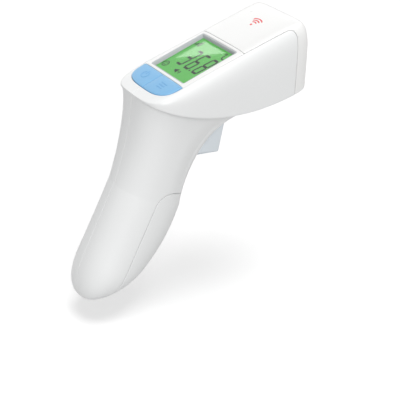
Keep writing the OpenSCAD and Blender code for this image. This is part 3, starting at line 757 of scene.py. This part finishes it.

# %% [markdown]
# ## The lit display
# A reflective panel with a green backlight: the light comes out of the panel itself. Its colour is painted a little
# paler towards the front end, a painted reflection that stands in for part of the glare on the pane. Real lamps
# under the panel would give the same glow, but a glowing surface has no noise.

# %% Display green
def display_green():
    finish = Finish("display_green", Emission_Strength=0.66)
    split = finish.node("ShaderNodeSeparateXYZ", None, {0: finish.place})
    panel_l, panel_end_x = 0.034, 0.0765            # the panel's length, and how far its rear end is back
    # painted reflection: emission and base colour go paler towards the front end, standing in for part of the glare
    # on the pane; the glow itself is the backlight
    forward = Wire(finish, split.outputs[0]) * (1 / panel_l) + panel_end_x / panel_l
    glow_and_glare = finish.node("ShaderNodeClamp", None, {0: forward + finish.noise(60) * 0.25}).outputs[0]
    finish.drives("Emission Color", finish.colours(glow_and_glare, light(90, 205, 78), light(108, 212, 96)))
    finish.drives("Base Color", finish.colours(glow_and_glare, light(46, 92, 44), light(52, 100, 50)))
    finish.drives("Roughness", finish.noise(500) * 0.1 + 0.35)
    return finish.material


green = display_green()
finishes = {
    "housing": shell_white, "bezel": panel_white, "key": key_blue, "trigger": trigger_grey,
    "surround": surround_grey, "window": clear, "lcd": green, "backlight": milk_white, "board": mask,
    "chip": soft_black, "sensor_ring": soft_black, "barrel": gilt, "can": tin, "ribbon": film,
    "steel": steel, "connector": soft_black, "tray": tray_grey, "cell": sleeve, "lead": lead_red,
}
for entry in frame["record"]["subparts"]:
    node = frame["nodes"][entry["node"]]
    node.data.materials.clear()
    node.data.materials.append(finishes[entry["material_slot"]])
print(len(finishes), "slots have a finish")

# %% [markdown]
# ## Marks on the display and the keys
# The digits are the panel's dark segments, so they are real strokes, a few hundredths of a millimetre thick,
# that lie just over the panel. A stroke is a line of points with a width at each. The small pictures beside
# the digits and on the keys are plain signs of this lesson's own. A texture would do, but strokes stay
# sharp at any distance.

# %% Strokes
def from_deck(u, v, w):
    x = deck_x + u * math.cos(deck_tilt) - w * math.sin(deck_tilt)
    return (x, v, deck_z + u * math.sin(deck_tilt) + w * math.cos(deck_tilt))


def stroke_mesh(strokes, height_at, thick):
    """Closed strips along strokes, each a list of (u, v, width), laid at a height over the deck."""
    points, faces = [], []
    for stroke in strokes:
        line = np.array(stroke, float)
        ring = np.allclose(line[0, :2], line[-1, :2])
        way = np.gradient(line[:, :2], axis=0)
        if ring:
            way[0] = way[-1] = line[1, :2] - line[-2, :2]
        way /= np.linalg.norm(way, axis=1)[:, None]
        start = len(points)
        for (u, v, width), (du, dv) in zip(line, way):
            for side in (-1, 1):
                a, b = u - side * dv * width / 2, v + side * du * width / 2
                w = height_at(a, b)
                points += [from_deck(a, b, w + thick), from_deck(a, b, w)]
        for i in range(len(line) - 1):
            a = start + 4 * i
            b = a + 4
            faces += [(a, a + 2, b + 2, b), (a + 1, b + 1, b + 3, a + 3)]
            faces += [(a, b, b + 1, a + 1), (a + 2, a + 3, b + 3, b + 2)]
        if not ring:
            last = start + 4 * (len(line) - 1)
            faces += [(start, start + 1, start + 3, start + 2), (last, last + 2, last + 3, last + 1)]
    return np.array(points), faces


def arc(u, v, radius, start, end, width, steps=20):
    """Points round part of a circle; the angles are in degrees from forward towards the left."""
    angles = np.radians(np.linspace(start, end, steps + 1))
    return [(u + radius * math.cos(a), v + radius * math.sin(a), width) for a in angles]


def bar(u0, v0, u1, v1, width, point=0.0):
    """A straight stroke; "point" is the length of its pointed ends."""
    if not point:
        return [(u0, v0, width), (u1, v1, width)]
    f = point / math.hypot(u1 - u0, v1 - v0)
    return [(mix(u0, u1, k), mix(v0, v1, k), w) for k, w in ((0, 0.06), (f, width), (1 - f, width), (1, 0.06))]


# %% Digits and signs of the display
lcd_top = -window_depth - glass_t - 0.1
digit_h, digit_w, digit_slant = 13.2, 3.7, 0.105
level_stroke, upright_stroke, stroke_point = 1.5, 1.0, 0.4
level_reach, upright_gap = 0.1, 0.3
SEGMENTS = {"3": "abcdg", "6": "acdefg", "8": "abcdefg"}


def digit(figure, u, v):
    """The segments of one figure, whose lower left corner is at u, v."""
    h, w = digit_h, digit_w
    ends = {"a": (h, 0, h, w), "d": (0, 0, 0, w), "g": (h / 2, 0, h / 2, w), "b": (h, w, h / 2, w),
            "c": (h / 2, w, 0, w), "f": (h, 0, h / 2, 0), "e": (h / 2, 0, 0, 0)}
    strokes = []
    for name in SEGMENTS[figure]:
        up0, across0, up1, across1 = ends[name]
        level = up0 == up1
        if level:
            across0, across1 = across0 - level_reach, across1 + level_reach
        else:
            up0, up1 = up0 - upright_gap, up1 + upright_gap
        ends_on_deck = [(u + b, v - a - b * digit_slant) for b, a in ((up0, across0), (up1, across1))]
        width = level_stroke if level else upright_stroke
        strokes.append(bar(*ends_on_deck[0], *ends_on_deck[1], width, stroke_point))
    return strokes


digit_foot = -5.9
signs = digit("3", digit_foot, 8.2) + digit("6", digit_foot, 1.1) + digit("8", digit_foot, -6.1)
decimal_point = bar(-6.5, -4.3, -5.5, -4.35, 0.95)
degrees_celsius = [arc(14.2, -9.0, 0.6, 0, 360, 0.5, 12), arc(11.7, -10.9, 1.6, 40, 320, 0.75)]
face = [arc(-10.1, 12.9, 2.0, 0, 360, 0.5, 32), arc(-9.9, 12.9, 1.15, 125, 235, 0.45)]
face += [arc(-9.4, 12.9 + k * 0.75, 0.22, 0, 360, 0.4, 8) for k in (-1, 1)]
signal = [bar(9.6, 15.0 - k * 1.2, 11.0 + k, 14.8 - k * 1.2, 0.7) for k in range(4)]
speaker = [[(-10.3, 3.4, 1.4), (-10.3, 2.5, 1.4), (-10.3, 0.9, 3.4), (-10.3, 0.8, 3.4)]]
speaker += [arc(-10.3, 0.8, r, -125, -55, 0.5, 10) for r in (1.0, 2.0)]
signs += [decimal_point] + degrees_celsius + face + signal + speaker
digits = mesh_piece("display_marks", *stroke_mesh(signs, lambda u, v: lcd_top + 0.015, 0.04))
digits.data.materials.append(soft_black)
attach(digits, "housing")
print(len(signs), "strokes on the display")

# %% [markdown]
# Signs on the keys and on the nose cover follow curved tops, so each point of a stroke is dropped onto the
# piece along the deck's normal. The signs are the makers' usual ones in spirit: a ring of choices for the
# mode key, lines of a list for the memory key, and warm waves where such an object carries its badge.

# %% Signs on curved tops
def height_over(piece):
    """A function that gives the height of a piece's top over the deck."""
    down = (Vector(placed(from_deck(0, 0, -1))) - Vector(placed(from_deck(0, 0, 0)))).normalized()

    def height(u, v):
        start = Vector(placed(from_deck(u, v + 0.002, 20)))     # never just along the seam of two faces
        hit, spot, _, _ = piece.ray_cast(start, down)
        if not hit:
            raise ValueError("a sign misses its piece")
        return 20 - (spot - start).length / MM

    return height


def signs_on(name, piece, body, finish, strokes, thick, sunk=0.08):
    height = height_over(piece)
    mark = mesh_piece(name, *stroke_mesh(strokes, lambda u, v: height(u, v) - sunk, thick + sunk))
    mark.data.materials.append(finish)
    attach(mark, body)
    return mark


bpy.context.view_layer.update()
key_u, key_v = deck_u(key_x + 6.6), 8.2
signs_on("mode_key_sign", mode_key, "mode_key", icon_blue,
         [arc(key_u, key_v, 2.3, 30, 330, 0.5, 28), bar(key_u + 0.4, key_v, key_u + 3.0, key_v, 0.5)], 0.12)
signs_on("memory_key_sign", memory_key, "memory_key", icon_blue,
         [bar(key_u + k * 1.7, -key_v + 2.4, key_u + k * 1.7, -key_v - 2.4, 0.55) for k in (-1, 0, 1)], 0.12)
badge_u = deck_u(74.5)
signs_on("wave_badge", nose_cover, "housing", badge_red,
         [arc(badge_u - 3.4, 0, r, -38, 38, 0.75, 14) for r in (2.6, 4.2, 5.8)]
         + [arc(badge_u - 3.4, 0, 0.35, 0, 360, 0.7, 12)], 0.05)
print("signs laid on the keys and the nose cover")

# %% [markdown]
# ## The window
# Under the bezel's opening sit a grey surround, whose walls lean in a little so that the mould can let go
# of it, and a clear pane with ground edges. Both are lofts: loops with the same number of points, one after
# another. A loft that closes on itself makes a ring, such as the surround.

# %% Outlines and lofts
def rounded(corners, radius, steps=5):
    """A closed outline with its corners rounded."""
    corners = [np.array(corner, float) for corner in corners]
    outline = []
    for i, here in enumerate(corners):
        ends = []
        for other in (corners[i - 1], corners[(i + 1) % len(corners)]):
            length = np.linalg.norm(other - here)
            ends.append(here + (other - here) * min(radius, 0.45 * length) / length)
        for t in np.linspace(0, 1, steps + 1):
            outline.append((1 - t) ** 2 * ends[0] + 2 * t * (1 - t) * here + t * t * ends[1])
    return np.array(outline)


def inset(outline, amount):
    """The outline moved inwards."""
    way = np.roll(outline, -1, 0) - np.roll(outline, 1, 0)
    way /= np.linalg.norm(way, axis=1)[:, None]
    after = np.roll(outline, -1, 0)
    area = np.sum(outline[:, 0] * after[:, 1] - outline[:, 1] * after[:, 0])
    return outline + amount * np.sign(area) * np.stack([-way[:, 1], way[:, 0]], 1)


def loft(loops, ring=False):
    """A closed solid through loops; the last loop of a ring meets its first."""
    n, count = len(loops[0]), len(loops)
    points = np.concatenate(loops)
    faces = []
    for j in range(count if ring else count - 1):
        a, b = j * n, (j + 1) % count * n
        faces += [(a + i, a + (i + 1) % n, b + (i + 1) % n, b + i) for i in range(n)]
    if not ring:
        faces += [tuple(range(n))[::-1], tuple(range((count - 1) * n, count * n))]
    middle = points.mean(0)
    volume = sum(np.dot(points[f[0]] - middle, np.cross(points[f[k]] - middle, points[f[k + 1]] - middle))
                 for f in faces for k in range(1, len(f) - 1))
    return points, faces if volume > 0 else [f[::-1] for f in faces]


def joined(*solids):
    """Several solids as the points and faces of one piece."""
    points, faces, start = [], [], 0
    for some_points, some_faces in solids:
        points.append(some_points)
        faces += [tuple(start + i for i in face) for face in some_faces]
        start += len(some_points)
    return np.concatenate(points), faces


def finished(piece, body, finish, nodes=()):
    """Give a piece its finish and its body, and let it stand for CAD nodes."""
    piece.data.materials.append(finish)
    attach(piece, body)
    for node in nodes:
        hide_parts(node)
    return piece


def pane(grow, w, radius=0.5):
    """The outline of the window, grown and at a height over the deck."""
    ends = deck_u(window_x) - grow, deck_u(window_x + window_l) + grow
    side = window_w + grow
    outline = rounded([(ends[0], -side), (ends[1], -side), (ends[1], side), (ends[0], side)], radius)
    return np.array([from_deck(u, v, w) for u, v in outline])


# %% Surround and pane
surround_top, surround_foot = -0.5, 0.05 - window_depth
surround_loops = [pane(-0.1, surround_foot), pane(-0.1, surround_top), pane(-0.65, surround_top),
                  pane(-0.8, surround_top - 0.15), pane(-1.1, surround_foot)]
finished(mesh_piece("surround_walls", *loft(surround_loops, ring=True)), "housing",
         surround_grey, ["window_surround"])
glass_top = -window_depth
glass_foot, glass_rim = glass_top - glass_t, 1.0
glass_loops = [pane(glass_rim - 0.12, glass_foot), pane(glass_rim, glass_foot + 0.12),
               pane(glass_rim, glass_top - 0.12), pane(glass_rim - 0.12, glass_top)]
finished(mesh_piece("window_pane", *loft(glass_loops), sharp=20), "housing", clear,
         ["display_window"])
print("surround and pane made")

# %% [markdown]
# ## The trigger
# The trigger is a hollow moulding on a pin; what shows is its curved front and its rounded sides, so its
# outline is lofted across its width and drawn in at both ends. The hub and the pusher, which presses the
# switch, belong to the same moulding.

# %% Trigger
trigger_front = [(50, -5.5), (54.8, -14), (53.9, -24), (50.2, -42.8)]
trigger_back = [(35, -41.4), (36.5, -34), (41, -20), (43, -8)]
trigger_round, hub_r, pivot, trigger_angle = 1.1, 3.5, (46.0, -7.0), math.radians(6)
pusher_z, switch_x, switch_t = -33.0, 22.5, 1.2 + 1.7
pusher_x = switch_x + switch_t + seam + (pivot[1] - pusher_z) * math.sin(trigger_angle)
trigger_outline = rounded(trigger_front + trigger_back, 1.3)


def across(outline, half, edge):
    """A solid from an outline in X and Z, with rounded rims, from -half to half across."""
    loops = []
    for end in (-1, 1):
        angles = np.radians(np.linspace(90, 0, 6) if end < 0 else np.linspace(0, 90, 6))
        for angle in angles:
            loop = inset(outline, edge * (1 - math.cos(angle)))
            side = np.full(len(loop), end * (half - edge + edge * math.sin(angle)))
            loops.append(np.stack([loop[:, 0], side, loop[:, 1]], 1))
    return loft(loops)


def ring_outline(centre, radius, steps=40):
    angles = np.linspace(0, 2 * math.pi, steps, endpoint=False)
    return np.stack([centre[0] + radius * np.cos(angles), centre[1] + radius * np.sin(angles)], 1)


pusher = rounded([(pusher_x, pusher_z - 3), (pusher_x + 10, pusher_z - 3),
                  (pusher_x + 10, pusher_z + 3), (pusher_x, pusher_z + 3)], 0.8)
trigger_solids = joined(across(trigger_outline, trigger_w / 2, trigger_round),
                        across(ring_outline(pivot, hub_r), trigger_w / 2, 0.3), across(pusher, 3, 0.5))
finished(mesh_piece("trigger_moulding", *trigger_solids), "trigger", trigger_grey, ["trigger"])
print("trigger made")

# %% [markdown]
# ## Turned parts
# The ring at the opening, the gilt barrel behind it and the sensor's can are all turned, so each is one
# profile carried round the sensor's axis. Fine steps inside the cone stop it from passing stray warmth on.

# %% Lathe
def turned(profile, centre, axis, steps=72, ring=True):
    """A solid of revolution; each point of the profile is a radius and a distance along the axis."""
    loops = []
    for radius, along_axis in profile:
        circle = ring_outline((0, 0), radius, steps)
        spot = np.full(steps, along_axis)
        if axis == "X":
            loop = np.stack([centre[0] + spot, centre[1] + circle[:, 0], centre[2] + circle[:, 1]], 1)
        else:
            loop = np.stack([centre[0] + circle[:, 0], centre[1] + spot, centre[2] + circle[:, 1]], 1)
        loops.append(loop)
    return loft(loops, ring)


nose = (nose_x, 0.0, sensor_z)
ring_profile = [(aperture_r, -wall), (aperture_r, 0.1), (aperture_r + 0.1, 0.3), (aperture_r + 0.35, 0.4),
                (ring_r - 0.45, 0.4), (ring_r - 0.15, 0.3), (ring_r - 0.05, 0.05), (ring_r - 0.05, -wall)]
finished(mesh_piece("opening_ring", *turned(ring_profile, nose, "X")), "housing", soft_black,
         ["aperture_ring"])
barrel_front, barrel_r, barrel_l, barrel_step, can_r = -wall - 0.1, ring_r + 1, 20.0, 0.9, 4.1
barrel_back = barrel_front - barrel_l
barrel_profile = [(ring_r - 0.1, barrel_front), (ring_r - 0.1, barrel_front - barrel_step),
                  (barrel_r, barrel_front - barrel_step), (barrel_r, barrel_back), (can_r + 0.05, barrel_back),
                  (can_r + 0.05, barrel_back + 4.5)]
for k in range(13):
    cone_r = mix(2.0, aperture_r + 0.4, k / 12)
    cone_x = mix(barrel_back + 4.5, barrel_front, k / 12)
    barrel_profile += [(cone_r, cone_x)] if k in (0, 12) else [(cone_r - 0.1, cone_x), (cone_r + 0.1, cone_x)]
finished(mesh_piece("gilt_cone", *turned(barrel_profile, nose, "X"), sharp=20), "housing", gilt,
         ["sensor_barrel"])
can_front = barrel_back + 4.4
can_profile = [(1.5, can_front - 0.25), (1.6, can_front), (can_r - 0.35, can_front), (can_r, can_front - 0.35),
               (can_r, barrel_back)]
finished(mesh_piece("sensor_cap", *turned(can_profile, nose, "X", ring=False)), "housing", tin,
         ["sensor_can"])
print("ring, cone and cap turned")

# %% [markdown]
# The left half of the housing carries deep wells, at whose ends the screws bite. Each well is turned too,
# and its rim is bent to the skin: rays dropped on the shell tell how far out each point of the rim lies.

# %% Screw wells
wells = []
for x, z, seat in screws:
    well = turned([(screw_well_r, 0), (screw_well_r, 0), (1.25, 0), (1.25, -1.2), (screw_well_r + 0.8, -1.2),
                   (screw_well_r + 0.8, 0)], (x, seat, z), "Y", 36)
    points = well[0]
    for first in (0, 180):
        for i in range(first, first + 36):
            way = (points[i] - (x, 0, z)) * (1, 0, 1)
            way *= (screw_well_r + 0.7) / np.linalg.norm(way)
            start = Vector(placed((x + way[0], head_w + 20, z + way[2])))
            hit, spot, _, _ = left_shell.ray_cast(start, Vector((0, -1, 0)))
            if hit:
                points[i, 1] = spot.y / MM - 0.35
    wells.append(well)
finished(mesh_piece("screw_wells", *joined(*wells)), "housing", shell_white)
print(len(wells), "wells")

# %% [markdown]
# ## Camera, floor and light
# The camera looks down from behind and to the side, as one sees such an object on a counter, through a long
# lens. The room is plain: a pale floor, an even sky, a big soft light overhead and a smaller one over the
# shoulder. The floor throws no light back on the object, or its undersides would wash out. Last comes a
# bright screen whose reflection ends halfway across the window, which shows that there is a pane.

# %% Camera
camera_data = bpy.data.cameras.new("camera")
camera_data.lens, camera_data.sensor_width = 85, 36
camera = bpy.data.objects.new("camera", camera_data)
bpy.context.scene.collection.objects.link(camera)
camera_spot = Vector((-0.30238, -0.38403, 0.17745))
right = Vector((0.8443, -0.5353, 0.0242))
down = Vector((-0.2487, -0.4315, -0.8672))
ahead = Vector((0.4746, 0.7261, -0.4975))
camera.matrix_world = Matrix.Translation(camera_spot) @ Matrix((right, -down, -ahead)).transposed().to_4x4()
bpy.context.scene.camera = camera
print("the camera is", round(camera_spot.length, 3), "m from the sensor")

# %% Floor and lights
def staged_quad(name, corners, material):
    mesh = bpy.data.meshes.new(name)
    mesh.from_pydata([tuple(c) for c in corners], [], [(0, 1, 2, 3)])
    quad = bpy.data.objects.new(name, mesh)
    mesh.materials.append(material)
    bpy.context.scene.collection.objects.link(quad)
    return quad


cover_travel = 0.012
floor_z = cad_box[0][2] - cover_travel
pale = Finish("pale_floor", Roughness=0.9, Emission_Color=(1, 1, 1, 1), Emission_Strength=0.14)
pale.drives("Base Color", pale.colours(pale.noise(3, 2), (0.93, 0.93, 0.93, 1), (0.96, 0.96, 0.96, 1)))
pale.bumps(pale.noise(400, 2), 0.00002)
floor_corners = [(-4, -4, floor_z), (4, -4, floor_z), (4, 4, floor_z), (-4, 4, floor_z)]
floor = staged_quad("floor", floor_corners, pale.material)
floor.visible_diffuse = False

world = bpy.data.worlds.new("sky")
bpy.context.scene.world = world
world.use_nodes = True
sky = world.node_tree.nodes["Background"]
sky.inputs["Color"].default_value = (1, 1, 1, 1)
sky.inputs["Strength"].default_value = 0.46


def soft_light(name, place, target, size, power):
    data = bpy.data.lights.new(name, "AREA")
    data.size, data.energy = size, power
    lamp = bpy.data.objects.new(name, data)
    bpy.context.scene.collection.objects.link(lamp)
    towards = (Vector(target) - Vector(place)).to_track_quat("-Z", "Y")
    lamp.matrix_world = Matrix.Translation(place) @ towards.to_matrix().to_4x4()


soft_light("overhead", (0.2, -0.3, 3.0), (-0.05, 0, 0), 1.8, 42)
soft_light("shoulder", (-0.8, -1.5, 0.75), (-0.05, 0, -0.03), 0.7, 16)

# %% [markdown]
# The bright screen is found by reflecting: the camera's mirror image in the pane looks out through two
# points of the pane, and the screen's edge lies on those two lines of sight. It shows only in reflections.

# %% Bright screen
glass_points = [Vector(placed(from_deck(u, v, glass_top))) for u, v in ((-7.0, 15.0), (17.1, -10.5))]
glass_up = (Vector(placed(from_deck(0, 0, 1))) - Vector(placed(from_deck(0, 0, 0)))).normalized()
mirrored = camera_spot - 2 * (camera_spot - glass_points[0]).dot(glass_up) * glass_up
edge = [point + (point - mirrored).normalized() * 0.5 for point in glass_points]
past = (edge[1] - edge[0]).normalized() * 0.9
outwards = Vector(placed(from_deck(10, 10, glass_top))) - glass_points[0]
outwards = (outwards - past.normalized() * outwards.dot(past.normalized())).normalized() * 0.9
glow_and_glare = Finish("screen_glow", Emission_Strength=1.7)
glow_and_glare.drives("Emission Color", glow_and_glare.colours(glow_and_glare.noise(4), (0.97, 0.97, 0.97, 1), (1, 1, 1, 1)))
near, far = edge[0] - past, edge[1] + past
screen = staged_quad("bright_screen", [near, far, far + outwards, near + outwards], glow_and_glare.material)
screen.visible_camera = screen.visible_diffuse = screen.visible_shadow = False
bpy.context.scene.view_settings.view_transform = "Standard"
print("screen placed")
